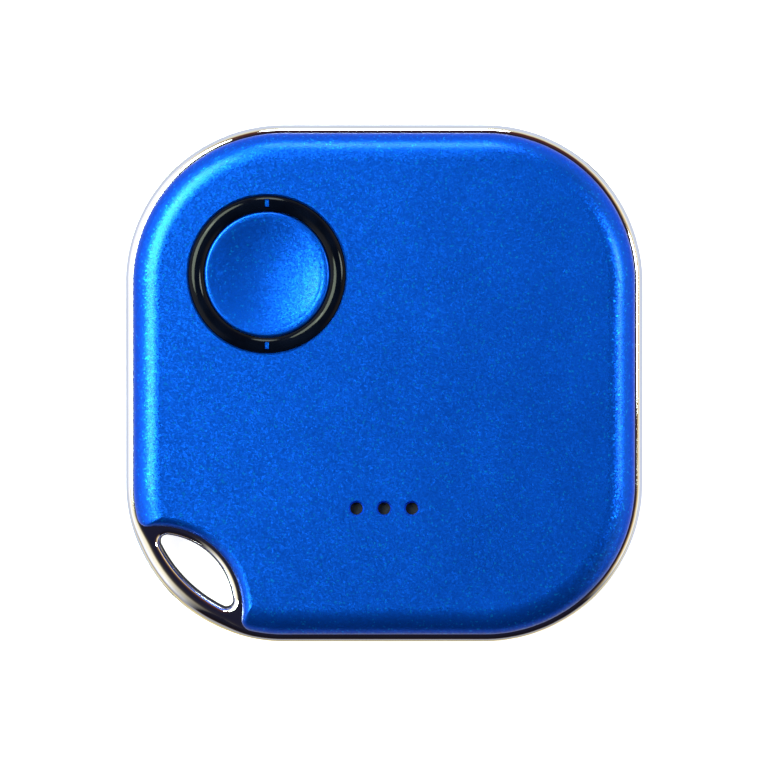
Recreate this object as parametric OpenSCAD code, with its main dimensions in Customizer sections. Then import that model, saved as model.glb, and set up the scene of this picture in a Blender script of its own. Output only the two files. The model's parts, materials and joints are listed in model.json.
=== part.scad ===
// Square wireless key tag: a painted front and back cover in a chromed bezel with a key eye,
// a push button in a light ring, a sounder, a round-the-cell circuit board and a coin cell.
// It lies on its back, face up, with the key eye at the -X -Y corner. Millimetres.

/* [Case] */
// Width of the bezel, along X
body_w = 36; // [34.5:0.5:46]
// Length of the bezel, along Y
body_l = 36; // [34.5:0.5:46]
// Outer corner radius of the bezel
corner_r = 11; // [9:0.5:12]
// Height of the back cover, up to the bezel
back_h = 1.9; // [1.6:0.1:2.4]
// Height of the bezel
bezel_h = 2.2; // [2:0.1:2.8]
// Height of the front cover, above the bezel
front_h = 1.8; // [1.5:0.1:2.2]
// How far the bezel stands proud of the covers
bezel_stand = 0.56; // [0.4:0.02:0.7]
// Thickness of the bezel's wall
bezel_wall = 1.25; // [1:0.05:1.5]
// Edge radius around the covers' faces
cover_edge_r = 1.3; // [0.8:0.1:1.4]
// Thickness of the covers' faces
face_wall = 0.7; // [0.6:0.05:0.8]
// Thickness of the front cover's skirt, inside the bezel
skirt_wall = 0.7; // [0.5:0.05:0.8]
// Thickness of the back cover's lip, inside the skirt
lip_wall = 0.6; // [0.5:0.05:0.7]
// Height of the back cover's lip above its rim
lip_h = 1; // [0.8:0.1:1.3]
// Height of the seal between the rim and the skirt
seal_h = 0.36; // [0.2:0.02:0.5]
// Width of the notch for prying the back cover off
pry_w = 5; // [3:0.5:8]

/* [Key eye] */
// Distance of the eye's centre from the bezel's two outer sides
eye_inset = 2.3; // [2:0.1:3]
// Radius of the covers' round cut about the eye's centre
cut_r = 5.85; // [5.5:0.05:6.5]
// Edge radius of the covers' faces along that cut
cut_edge_r = 0.75; // [0.4:0.05:1]
// Radius of the eye's inner side
eye_r = 5.2; // [4.6:0.05:5.3]
// Width of the bar between the eye and the outside
eye_bar = 1.44; // [1.2:0.02:2]
// Radius of the eye's two rounded ends
eye_tip_r = 0.5; // [0.3:0.05:0.7]
// Lip radius around the eye
eye_lip_r = 0.45; // [0.2:0.05:0.6]

/* [Button] */
// Diameter of the button's cap
button_d = 8.72; // [7:0.1:10.5]
// Button's centre from the bezel's left side
button_from_left = 9.88; // [9.5:0.1:11]
// Button's centre from the bezel's far side
button_from_top = 10.35; // [10:0.05:11]
// Travel of the button
button_travel = 0.25; // [0.15:0.05:0.3]
// Depth of the finger dish
dish_depth = 0.35; // [0.1:0.05:0.5]
// Width of the button's rim around the dish
button_rim = 0.45; // [0.4:0.05:1]
// Visible width of the light ring
ring_w = 1.04; // [0.8:0.02:1.3]
// Height of the ring's crest above the front face
ring_stand = 0.1; // [0:0.02:0.2]
// Width of the ring's flange, under the front cover
ring_flange_w = 0.75; // [0.5:0.05:0.8]

/* [Sound] */
// Number of sound holes
hole_count = 3; // [1:1:4]
// Diameter of a sound hole
hole_d = 0.87; // [0.6:0.01:1]
// Spacing of the sound holes
hole_pitch = 1.92; // [1.6:0.01:2]
// Sound holes' line from the bezel's near side
hole_from_bottom = 9.4; // [9:0.1:10]
// Width of the sounder's square case
buzzer_w = 8.5; // [8:0.1:8.8]
// Height of the sounder's case
buzzer_h = 2; // [1.7:0.1:2.2]

/* [Coin cell] */
// Diameter of the coin cell
cell_d = 20; // [16:0.5:20.5]
// Thickness of the coin cell
cell_h = 3.2; // [2.5:0.1:3.2]

/* [Board] */
// Thickness of the circuit board
board_t = 0.6; // [0.4:0.1:0.8]
// Diameter of the board screws' thread
screw_d = 1; // [0.8:0.1:1.2]
// Side of the radio chip
chip_w = 5; // [4:0.1:5.2]
// Side of the click switch
switch_w = 3; // [2.6:0.1:3.2]

/* [Fits] */
// Gap between parts that slide into each other, each side
slide_gap = 0.05; // [0.03:0.01:0.1]
// Gap between neighbours that never touch
part_gap = 0.1; // [0.05:0.01:0.2]

/* [Hidden] */
$fn = 96;
through = 1;            // how far a cutting tool runs past what it cuts
sunk = 0.1;             // how far a rib or boss is sunk into the wall that it grows from

// Heights
bezel_z = back_h;
front_z = back_h + bezel_h;
face_z = front_z + front_h;
roof_z = face_z - face_wall;
crest_z = face_z + ring_stand;

// Walls in plan, as distances in from the bezel's outer side
skirt_o = bezel_wall + slide_gap;
skirt_in = skirt_o + skirt_wall;
lip_o = skirt_in + slide_gap;
lip_in = lip_o + lip_wall;
corner = [body_w / 2 - corner_r, body_l / 2 - corner_r];
eye_c = [eye_inset - body_w / 2, eye_inset - body_l / 2];
pry_h = 0.6;

// Sounder stack, hung from the front cover's inner face
mesh_t = 0.1;
gasket_t = 0.3;
hole_y = hole_from_bottom - body_l / 2;
buzzer_z = roof_z - mesh_t - gasket_t - buzzer_h;
buzzer_wall = 0.45;
disc_r = buzzer_w / 2 - buzzer_wall;
disc_seat = 0.3;
disc_z = buzzer_z + 1.1;
disc_t = 0.1;
lid_t = 0.4;
piezo_t = 0.15;
disc_ledge = 0.35;
hole_chamfer = 0.12;
outlet_w = hole_d + 0.4;
outlet_l = (hole_count - 1) * hole_pitch + outlet_w;
gasket_w = 1;

// Board
board_top = buzzer_z;
board_z = board_top - board_t;
board_o = lip_in + part_gap;

// Coin cell and its cradle
pad_t = 0.12;
cell_gap = 0.03;
cell_r = cell_d / 2;
cell_z = face_wall + pad_t + cell_gap;
cell_top = cell_z + cell_h;
can_t = 0.25;
cradle_gap = 0.15;
cradle_wall = 0.6;
cradle_r = cell_r + cradle_gap + cradle_wall;
cradle_z = face_wall + 0.3;
cradle_floor_z = cell_top + 0.3;
cradle_floor_t = 0.5;
cell_x = body_w / 2 - lip_in - part_gap - cradle_r;
cell_y = body_l / 2 - lip_in - part_gap - cradle_r;
// The sounder's centre: just inwards of its holes, and clear of the cradle
buzzer_y = min(hole_y - 2, cell_y - cradle_r - 3 * part_gap - buzzer_w / 2);
board_cut_r = cradle_r + 2 * part_gap;
stake_r = 0.45;
stake_at = cradle_r + 0.9;
stake_head_w = 0.3;
stake_head_t = 0.25;
stake_angles = [201, 238, 312];
lug_r = 0.9;
lug_t = 0.6;
negative_a = 219;
positive_a = 292;
leaf_t = 0.15;
leaf_w = 3;
clip_w = 2.6;
foot_l = 2.1;           // length of a contact's foot on the board

// Button, light ring and switch
button_x = button_from_left - body_w / 2;
button_y = body_l / 2 - button_from_top;
cap_r = button_d / 2;
cap_top = face_z - 0.05;
cap_rim_r = 0.2;
ring_in = cap_r + slide_gap;
ring_out = ring_in + ring_w;
flange_r = ring_out + ring_flange_w;
ring_z = roof_z - 0.45;
ring_crown = 0.2;
bore_r = ring_out + 0.02;
bore_chamfer = 0.15;
post_w = 0.3;
post_l = 0.5;
post_at = ring_in + ring_w / 2;
cap_flange_r = post_at + post_l / 2 + 0.05;
cap_flange_t = 0.3;
cap_flange_z = ring_z - slide_gap - cap_flange_t;
stem_r = 0.8;
relief_r = flange_r + 2 * part_gap;
relief_z = cell_top - part_gap;
switch_h = 0.75;
switch_floor = 0.35;
plate_t = 0.15;
well_r = 1.1;
stub_r = 0.6;
stub_top = board_top + switch_h + plate_t + 0.3;
plunger_z = board_top + 0.69 - 0.02;
dome_r = 1;
dome_rise = 0.3;
dome_t = 0.06;
led_at = post_at;
led_w = 0.8;
led_base_h = 0.35;
led_lens_h = 0.25;
led_lens_l = 1.1;
led_lens_r = 0.15;
led_angles = [100, 150, 210, 260];

// Screws and bosses. The first stands between the light ring and the cradle, at the far side.
boss_r = 1.2;
head_r = 1;
head_t = 0.5;
boss_gap = 2 * part_gap;
boss_hole_share = 0.8;  // how much of a boss's height its hole takes
thread_share = 0.7;     // how much of a boss's height its screw takes
screw_gap = 0.04;
screw_clearance = 0.2;
head_edge = 0.15;
recess_l = 1.2;
recess_w = 0.24;
recess_h = 0.28;
screw_at = [
    touching([button_x, button_y], flange_r + boss_r + boss_gap,
             [cell_x, cell_y], cradle_r + boss_r + boss_gap),
    [lip_in + 1.75 - body_w / 2, button_y - flange_r - 4.4],
    [cell_x + 4.3, lip_in + 1.95 - body_l / 2]
];
board_arm = 1.4;        // how far the board's two arms run past their last screw or lug

// Parts under the board: the chip sits beside the cell, near the third screw
chip_h = 0.85;
crystal_h = 0.55;
crystal_w = 2.5;
crystal_l = 2;
antenna_h = 0.8;
capacitor_h = 0.5;
resistor_h = 0.35;
small_l = 1;            // length and width of a resistor and of a capacitor
small_w = 0.5;
chip_at = [cell_x + 3 + chip_w / 2, cell_y - cradle_r - 0.4 - chip_w / 2];
antenna_l = 7;
antenna_w = 2;
antenna_at = [lip_in + 2.35 - body_w / 2, button_y - 5.6];

// The point at distance ra from a and rb from b, on the left as one looks from a to b.
// Where a and b lie too far apart for that, it stands on the line between them, clear of both.
function touching(a, ra, b, rb) =
    let (d = norm(b - a), u = (b - a) / d, along = (d * d + ra * ra - rb * rb) / (2 * d))
    a + along * u + sqrt(max(0, ra * ra - along * along)) * [-u[1], u[0]];

// ---- shared shapes ----

// A plate with round corners
module rounded_plate(w, l, r) {
    square([w - 2 * r, l], center = true);
    square([w, l - 2 * r], center = true);
    for (sx = [-1, 1], sy = [-1, 1])
        translate([sx * (w / 2 - r), sy * (l / 2 - r)]) circle(r);
}

// The case's plan, o in from the bezel's outer side, less the round cut for the key eye
module plan(o) {
    difference() {
        rounded_plate(body_w - 2 * o, body_l - 2 * o, corner_r - o);
        translate(eye_c) circle(cut_r - bezel_stand + o);
    }
}

// A wall that follows the plan, from o to o + t
module plan_wall(o, t, h) {
    linear_extrude(h) difference() {
        plan(o);
        plan(o + t);
    }
}

// What a round edge of radius r takes off a corner at the origin, which points up and right
module corner_waste(r) {
    if (r > 0) translate([-r, -r]) difference() {
        square(r + through);
        circle(r);
    }
}

// The edge of a slab: flat inside, and round above and below on its outer side
module slab_edge(reach, h, top_r, low_r) {
    difference() {
        square([reach, h]);
        translate([reach, h]) corner_waste(top_r);
        translate([reach, 0]) mirror([0, 1]) corner_waste(low_r);
    }
}

// A slab with round corners in plan and round edges above and below
module rounded_slab(w, l, r, h, top_r, low_r) {
    linear_extrude(h) square([w - 2 * r, l - 2 * r], center = true);
    for (turn = [0, 180]) {
        rotate(turn) translate([w / 2 - r, 0, 0]) rotate([90, 0, 0])
            linear_extrude(l - 2 * r, center = true) slab_edge(r, h, top_r, low_r);
        rotate(turn + 90) translate([l / 2 - r, 0, 0]) rotate([90, 0, 0])
            linear_extrude(w - 2 * r, center = true) slab_edge(r, h, top_r, low_r);
    }
    for (sx = [-1, 1], sy = [-1, 1])
        translate([sx * (w / 2 - r), sy * (l / 2 - r), 0])
            rotate(sx * sy > 0 ? 90 - 90 * sx : 90 * (sy > 0 ? 1 : 3))
                rotate_extrude(angle = 90) slab_edge(r, h, top_r, low_r);
}

// A round tool that leaves a lip of radius top_r above and low_r below as it cuts
module lipped_tool(r, h, top_r, low_r) {
    flare = max(top_r, low_r);
    rotate_extrude() difference() {
        translate([0, -through]) square([r + flare, h + 2 * through]);
        translate([r, low_r > 0 ? low_r : -2 * through])
            square([flare + through, h - top_r - (low_r > 0 ? low_r : -2 * through)]);
        if (top_r > 0) translate([r + top_r, h - top_r]) circle(top_r);
        if (low_r > 0) translate([r + low_r, low_r]) circle(low_r);
    }
}

// A slot-shaped plate along X
module slot_plate(l, w) {
    square([l - w, w], center = true);
    for (side = [-1, 1]) translate([side * (l - w) / 2, 0]) circle(w / 2);
}

// A block on the underside of the board
module under_block(w, l, h) {
    translate([-w / 2, -l / 2, board_z - h]) cube([w, l, h]);
}

// Something beside the cell, at angle a and radius r from its axis, facing outwards
module beside_cell(a, r) {
    translate([cell_x, cell_y, 0]) rotate(a) translate([r, 0, 0]) children();
}

// A cover's shell with its face up: round edges, hollow below, with the key eye's cut
module cover_shell(h) {
    difference() {
        rounded_slab(body_w - 2 * bezel_stand, body_l - 2 * bezel_stand, corner_r - bezel_stand,
                     h, cover_edge_r, 0);
        translate([eye_c[0], eye_c[1], 0]) lipped_tool(cut_r, h, cut_edge_r, 0);
        translate([0, 0, -through]) linear_extrude(h - face_wall + through) plan(skirt_in);
    }
}

// ---- case ----

module front_cover() {
    color("royalblue") difference() {
        union() {
            translate([0, 0, front_z]) cover_shell(front_h);
            translate([0, 0, bezel_z + seal_h + cell_gap])
                plan_wall(skirt_o, skirt_wall, front_z - bezel_z - seal_h - cell_gap + sunk);
            for (at = screw_at)
                translate([at[0], at[1], board_top]) cylinder(r = boss_r, h = roof_z - board_top + sunk);
        }
        translate([button_x, button_y, roof_z - through])
            cylinder(r = bore_r, h = face_wall + 2 * through);
        translate([button_x, button_y, face_z - bore_chamfer])
            cylinder(r1 = bore_r, r2 = bore_r + bore_chamfer + sunk, h = bore_chamfer + sunk);
        for (i = [0:hole_count - 1]) translate([(i - (hole_count - 1) / 2) * hole_pitch, hole_y, 0]) {
            translate([0, 0, roof_z - sunk]) cylinder(d = hole_d, h = face_wall + 2 * sunk);
            translate([0, 0, face_z - hole_chamfer])
                cylinder(d1 = hole_d, d2 = hole_d + 4 * hole_chamfer, h = 2 * hole_chamfer);
        }
        for (at = screw_at)
            translate([at[0], at[1], board_top - through])
                cylinder(d = screw_d + screw_gap, h = through + boss_hole_share * (roof_z - board_top));
    }
}

module bezel_frame() {
    bar_inner_r = corner_r - eye_bar;
    span = norm(eye_c + corner);
    turn = atan2(eye_c[1] + corner[1], eye_c[0] + corner[0]);
    // Centres of the eye's rounded ends, along and across the corner's diagonal
    bar_reach = bar_inner_r - eye_tip_r;
    side_reach = eye_r - eye_tip_r;
    tip_out = (span * span + bar_reach * bar_reach - side_reach * side_reach) / (2 * span);
    tip_side = sqrt(bar_reach * bar_reach - tip_out * tip_out);
    color("silver") translate([0, 0, bezel_z]) difference() {
        rounded_slab(body_w, body_l, corner_r, bezel_h, bezel_stand, bezel_stand);
        translate([0, 0, -through]) linear_extrude(bezel_h + 2 * through) plan(bezel_wall);
        // The eye's two long sides, up to its rounded ends
        translate([-corner[0], -corner[1], 0]) rotate(turn) intersection() {
            lipped_tool(bar_inner_r, bezel_h, eye_lip_r, eye_lip_r);
            translate([span, 0, 0]) lipped_tool(eye_r, bezel_h, eye_lip_r, eye_lip_r);
            translate([tip_out, 0, -2 * through]) linear_extrude(bezel_h + 4 * through)
                square([body_w, 2 * tip_side], center = true);
        }
        for (side = [-1, 1])
            translate([-corner[0], -corner[1], 0]) rotate(turn) translate([tip_out, side * tip_side, 0])
                lipped_tool(eye_tip_r, bezel_h, eye_lip_r, eye_lip_r);
    }
}

module back_cover() {
    color("royalblue") difference() {
        union() {
            translate([0, 0, back_h]) mirror([0, 0, 1]) cover_shell(back_h);
            translate([0, 0, face_wall - sunk])
                plan_wall(skirt_in, lip_wall + slide_gap, back_h - face_wall + sunk);
            translate([0, 0, back_h - sunk]) plan_wall(lip_o, lip_wall, lip_h + sunk);
        }
        // Notch for a fingernail or a thin tool, in the middle of the near side
        translate([-pry_w / 2, -body_l / 2, back_h - pry_h])
            cube([pry_w, bezel_stand + pry_h, pry_h + sunk]);
        // Room in the lip for the front cover's screw bosses
        for (at = screw_at)
            translate([at[0], at[1], board_top - part_gap])
                cylinder(r = boss_r + part_gap, h = roof_z - board_top);
    }
}

module cover_seal() {
    inset = 0.08;
    color("dimgray") translate([0, 0, bezel_z])
        plan_wall(skirt_o + inset, skirt_wall - 2 * inset, seal_h);
}

module cell_pad() {
    color("dimgray") translate([cell_x, cell_y, face_wall]) difference() {
        cylinder(r = 0.55 * cell_r, h = pad_t);
        translate([0, 0, -through]) cylinder(r = 0.25 * cell_r, h = pad_t + 2 * through);
    }
}

// ---- button, light ring and switch ----

module button_cap() {
    dish_r = cap_r - button_rim;
    dish_ball = (dish_r * dish_r + dish_depth * dish_depth) / (2 * dish_depth);
    hollow_r = cap_r - 0.9;
    hollow_top = cap_top - dish_depth - 0.55;
    color("royalblue") translate([button_x, button_y, 0]) {
        rotate_extrude() difference() {
            union() {
                translate([0, cap_flange_z]) square([cap_r, cap_top - cap_flange_z]);
                translate([0, cap_flange_z]) square([cap_flange_r, cap_flange_t]);
            }
            translate([cap_r, cap_top]) corner_waste(cap_rim_r);
            translate([0, cap_top - dish_depth + dish_ball]) circle(dish_ball);
            translate([stem_r, cap_flange_z - through])
                square([hollow_r - stem_r, hollow_top - cap_flange_z + through]);
        }
        translate([0, 0, stub_top]) cylinder(r = stem_r, h = cap_flange_z - stub_top + sunk);
        for (side = [-1, 1])
            translate([-post_w / 2, side * post_at - post_l / 2, cap_flange_z + cap_flange_t - sunk])
                cube([post_w, post_l, crest_z - 0.04 - cap_flange_z - cap_flange_t + sunk]);
    }
}

module light_ring() {
    crown_ball = (ring_w * ring_w / 4 + ring_crown * ring_crown) / (2 * ring_crown);
    color([0.05, 0.05, 0.07]) translate([button_x, button_y, 0]) difference() {
        rotate_extrude() {
            translate([ring_in, ring_z]) square([ring_w, crest_z - ring_crown - ring_z]);
            translate([ring_out - sunk, ring_z]) square([ring_flange_w + sunk, roof_z - ring_z]);
            intersection() {
                translate([ring_in + ring_w / 2, crest_z - crown_ball]) circle(crown_ball);
                translate([ring_in, crest_z - ring_crown - sunk]) square([ring_w, ring_crown + 2 * sunk]);
            }
        }
        for (side = [-1, 1])
            translate([-post_w / 2 - slide_gap, side * post_at - post_l / 2 - slide_gap, ring_z - through])
                cube([post_w + 2 * slide_gap, post_l + 2 * slide_gap, crest_z - ring_z + 2 * through]);
    }
}

module switch_base() {
    color([0.15, 0.15, 0.16]) translate([button_x, button_y, board_top]) difference() {
        linear_extrude(switch_h) rounded_plate(switch_w, switch_w, 0.25);
        translate([0, 0, switch_floor]) cylinder(r = well_r, h = switch_h);
    }
}

module switch_dome() {
    ball = (dome_r * dome_r + dome_rise * dome_rise) / (2 * dome_rise);
    color("silver") translate([button_x, button_y, board_top + switch_floor])
        rotate_extrude() intersection() {
            translate([0, dome_rise - ball]) difference() {
                circle(ball);
                circle(ball - dome_t);
            }
            square([dome_r, dome_rise + sunk]);
        }
}

module switch_plunger() {
    color("ivory") translate([button_x, button_y, plunger_z]) {
        cylinder(r = well_r - part_gap, h = board_top + switch_h - plunger_z - cell_gap);
        cylinder(r = stub_r, h = stub_top - plunger_z);
    }
}

module switch_plate() {
    color("gainsboro") translate([button_x, button_y, board_top + switch_h]) linear_extrude(plate_t)
        difference() {
            rounded_plate(switch_w, switch_w, 0.25);
            circle(stub_r + slide_gap);
        }
}

module status_leds() {
    color("white") for (a = led_angles)
        translate([button_x, button_y, board_top]) rotate(a) translate([led_at, 0, 0]) {
            translate([-led_w / 2, -led_w, 0]) cube([led_w, 2 * led_w, led_base_h]);
            translate([0, 0, led_base_h]) linear_extrude(led_lens_h)
                rounded_plate(led_w, led_lens_l, led_lens_r);
        }
}

// ---- board and what is on it ----

module circuit_board() {
    arm_x = screw_at[0][0] + board_arm;
    arm_y = cell_y + stake_at * sin(stake_angles[2]) + lug_r + board_arm;
    color("darkgreen") translate([0, 0, board_z]) linear_extrude(board_t) difference() {
        plan(board_o);
        translate([cell_x, cell_y]) circle(board_cut_r);
        translate([arm_x, arm_y]) square([body_w, body_l]);
        for (at = screw_at) translate(at) circle(d = screw_d + screw_clearance);
        for (a = stake_angles)
            translate([cell_x, cell_y] + stake_at * [cos(a), sin(a)]) circle(stake_r + slide_gap);
    }
}

module board_screws() {
    color("silver") for (at = screw_at) translate([at[0], at[1], 0]) difference() {
        union() {
            translate([0, 0, board_z - head_t])
                cylinder(r1 = head_r - head_edge, r2 = head_r, h = head_edge);
            translate([0, 0, board_z - head_t + head_edge])
                cylinder(r = head_r, h = head_t - head_edge);
            translate([0, 0, board_z - sunk])
                cylinder(d = screw_d, h = board_t + sunk + thread_share * (roof_z - board_top));
        }
        // Cross recess
        for (turn = [0, 90]) rotate(turn)
            translate([-recess_l / 2, -recess_w / 2, board_z - head_t - through])
                cube([recess_l, recess_w, through + recess_h]);
    }
}

module radio_chip() {
    dimple_in = 0.7;
    dimple_r = 0.25;
    dimple_depth = 0.06;
    color([0.12, 0.12, 0.13]) translate([chip_at[0], chip_at[1], 0]) difference() {
        under_block(chip_w, chip_w, chip_h);
        // Dimple that marks the chip's first corner
        translate([dimple_in - chip_w / 2, chip_w / 2 - dimple_in, board_z - chip_h - through])
            cylinder(r = dimple_r, h = through + dimple_depth);
    }
}

module crystal_can() {
    color("gainsboro") translate([chip_at[0] - chip_w / 2 - 3.6, chip_at[1] - 0.6, board_z - crystal_h])
        linear_extrude(crystal_h) rounded_plate(crystal_w, crystal_l, 0.3);
}

module chip_antenna() {
    color("ivory") translate([antenna_at[0], antenna_at[1], 0]) under_block(antenna_w, antenna_l, antenna_h);
}

module ceramic_capacitors() {
    color("tan") {
        for (i = [0:3]) translate([chip_at[0] - chip_w / 2 - 1.1, chip_at[1] - 1.8 + 1.2 * i, 0])
            under_block(small_l, small_w, capacitor_h);
        for (i = [0:2]) translate([antenna_at[0] + 2.2 + 1.4 * i, antenna_at[1] - 5.2, 0])
            under_block(small_w, small_l, capacitor_h);
    }
}

module chip_resistors() {
    color([0.1, 0.1, 0.1]) {
        for (i = [0:3]) translate([antenna_at[0] + 3.4, antenna_at[1] - 1.6 + 1.5 * i, 0])
            under_block(small_l, small_w, resistor_h);
        for (i = [0:2]) translate([antenna_at[0] + 7.4 + 1.3 * i, buzzer_y + 0.8, 0])
            under_block(small_w, small_l, resistor_h);
    }
}

// ---- sounder ----

module buzzer_case() {
    color([0.1, 0.1, 0.11]) translate([0, buzzer_y, buzzer_z]) difference() {
        linear_extrude(buzzer_h) rounded_plate(buzzer_w, buzzer_w, 0.8);
        translate([0, 0, disc_seat]) cylinder(r = disc_r - disc_ledge, h = buzzer_h - lid_t - disc_seat);
        translate([0, 0, disc_z - buzzer_z])
            cylinder(r = disc_r + part_gap, h = buzzer_h - lid_t - disc_z + buzzer_z);
        translate([0, hole_y - buzzer_y, buzzer_h - lid_t - sunk])
            linear_extrude(lid_t + 2 * sunk) slot_plate(outlet_l, outlet_w);
    }
}

module buzzer_diaphragm() {
    color("goldenrod") translate([0, buzzer_y, disc_z]) cylinder(r = disc_r, h = disc_t);
}

module piezo_disc() {
    color("whitesmoke") translate([0, buzzer_y, disc_z - piezo_t])
        cylinder(r = 0.75 * disc_r, h = piezo_t);
}

module buzzer_gasket() {
    color([0.1, 0.1, 0.1]) translate([0, hole_y, buzzer_z + buzzer_h])
        linear_extrude(gasket_t) difference() {
            slot_plate(outlet_l + 2 * gasket_w, outlet_w + 2 * gasket_w);
            slot_plate(outlet_l, outlet_w);
        }
}

module sound_mesh() {
    color([0.1, 0.1, 0.1]) translate([0, hole_y, roof_z - mesh_t])
        linear_extrude(mesh_t) slot_plate(outlet_l + 2 * gasket_w, outlet_w + 2 * gasket_w);
}

// ---- cell, cradle and contacts ----

module cell_cradle() {
    wall_top = roof_z - slide_gap;
    slot_w = clip_w + 4 * part_gap;
    color([0.16, 0.16, 0.17]) difference() {
        union() {
            translate([cell_x, cell_y, cradle_z]) cylinder(r = cradle_r, h = wall_top - cradle_z);
            for (a = stake_angles) {
                beside_cell(a, stake_at) {
                    translate([0, 0, board_top]) cylinder(r = lug_r, h = lug_t);
                    translate([0, 0, board_z - sunk]) cylinder(r = stake_r, h = board_t + 2 * sunk);
                    translate([0, 0, board_z - stake_head_t])
                        cylinder(r = stake_r + stake_head_w, h = stake_head_t);
                }
                beside_cell(a, cradle_r - cradle_wall / 2)
                    translate([0, -lug_r, board_top])
                        cube([stake_at - cradle_r + cradle_wall / 2, 2 * lug_r, lug_t]);
            }
        }
        translate([cell_x, cell_y, cradle_z - through])
            cylinder(r = cell_r + cradle_gap, h = cradle_floor_z - cradle_z + through);
        translate([cell_x, cell_y, cradle_floor_z + cradle_floor_t])
            cylinder(r = cell_r + cradle_gap, h = roof_z);
        // Room for the light ring and for the button's flange
        translate([button_x, button_y, relief_z]) cylinder(r = relief_r, h = roof_z);
        // Slots for the two contacts
        beside_cell(positive_a, cell_r - 0.5)
            translate([0, -slot_w / 2, cradle_z - through])
                cube([cradle_wall + 1.5, slot_w, board_top + leaf_t + part_gap - cradle_z + through]);
        beside_cell(negative_a, cell_r - 0.5)
            translate([0, -leaf_w / 2 - 2 * part_gap, cradle_floor_z - leaf_t - part_gap])
                cube([cradle_wall + 1.5, leaf_w + 4 * part_gap, leaf_t + part_gap]);
    }
}

module negative_spring() {
    tail_r = cradle_r + 1.5 * part_gap;
    bend = 1.9;
    finger = 5;
    finger_w = 1;
    drop = asin((cradle_floor_z - leaf_t - cell_top - slide_gap) / finger);
    color("goldenrod") beside_cell(negative_a, 0) {
        translate([bend, -leaf_w / 2, cradle_floor_z - leaf_t])
            cube([tail_r - bend + leaf_t, leaf_w, leaf_t]);
        translate([tail_r, -leaf_w / 2, board_top]) cube([leaf_t, leaf_w, cradle_floor_z - board_top]);
        translate([tail_r, -leaf_w / 2, board_top]) cube([foot_l, leaf_w, leaf_t]);
        for (side = [-1, 1])
            translate([bend + sunk / 2, side * (leaf_w - finger_w) / 2, cradle_floor_z - leaf_t])
                rotate([0, 180 - drop, 0])
                    translate([0, -finger_w / 2, -leaf_t]) cube([finger, finger_w, leaf_t]);
    }
}

module positive_clip() {
    touch = cell_r + 0.02;
    low = cell_z + 0.6;
    color("goldenrod") beside_cell(positive_a, 0) {
        translate([touch, -clip_w / 2, low])
            cube([leaf_t, clip_w, board_top - low + leaf_t]);
        translate([touch, -clip_w / 2, board_top])
            cube([cradle_r + foot_l - 2 * part_gap - touch, clip_w, leaf_t]);
    }
}

module cell_can() {
    color("gainsboro") translate([cell_x, cell_y, cell_z]) rotate_extrude() polygon([
        [0, 0], [cell_r - 0.3, 0], [cell_r, 0.3], [cell_r, cell_h - 0.5], [cell_r - 0.35, cell_h - 0.25],
        [cell_r - 0.55, cell_h - 0.3], [cell_r - can_t, cell_h - 0.7], [cell_r - can_t, 0.45],
        [cell_r - 0.45, can_t], [0, can_t]
    ]);
}

module cell_seal() {
    color([0.85, 0.85, 0.8]) translate([cell_x, cell_y, cell_z]) rotate_extrude()
        translate([cell_r - 1.1, cell_h - 1.2]) square([0.5, 0.92]);
}

module cell_cap() {
    cap_in = cell_r - 1.15;
    color("gainsboro") translate([cell_x, cell_y, cell_z]) rotate_extrude() polygon([
        [0, cell_h], [cap_in - 0.2, cell_h], [cap_in, cell_h - 0.2], [cap_in, cell_h - 1.1],
        [cap_in - can_t, cell_h - 1.1], [cap_in - can_t, cell_h - can_t], [0, cell_h - can_t]
    ]);
}

module cathode_pellet() {
    color([0.1, 0.1, 0.1]) translate([cell_x, cell_y, cell_z + can_t + 0.02])
        cylinder(r = cell_r - 1.8, h = 0.55 * cell_h);
}

module lithium_disc() {
    low = can_t + 0.55 * cell_h + 0.08;
    color("lightgray") translate([cell_x, cell_y, cell_z + low])
        cylinder(r = cell_r - 1.8, h = cell_h - can_t - low - 0.02);
}

front_cover();
bezel_frame();
back_cover();
cover_seal();
cell_pad();
button_cap();
light_ring();
switch_base();
switch_dome();
switch_plunger();
switch_plate();
status_leds();
circuit_board();
board_screws();
radio_chip();
crystal_can();
chip_antenna();
ceramic_capacitors();
chip_resistors();
buzzer_case();
buzzer_diaphragm();
piezo_disc();
buzzer_gasket();
sound_mesh();
cell_cradle();
negative_spring();
positive_clip();
cell_can();
cell_cap();
cell_seal();
cathode_pellet();
lithium_disc();
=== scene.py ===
"""The looks of a square push-button key tag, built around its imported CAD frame."""

import json
import math

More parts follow.
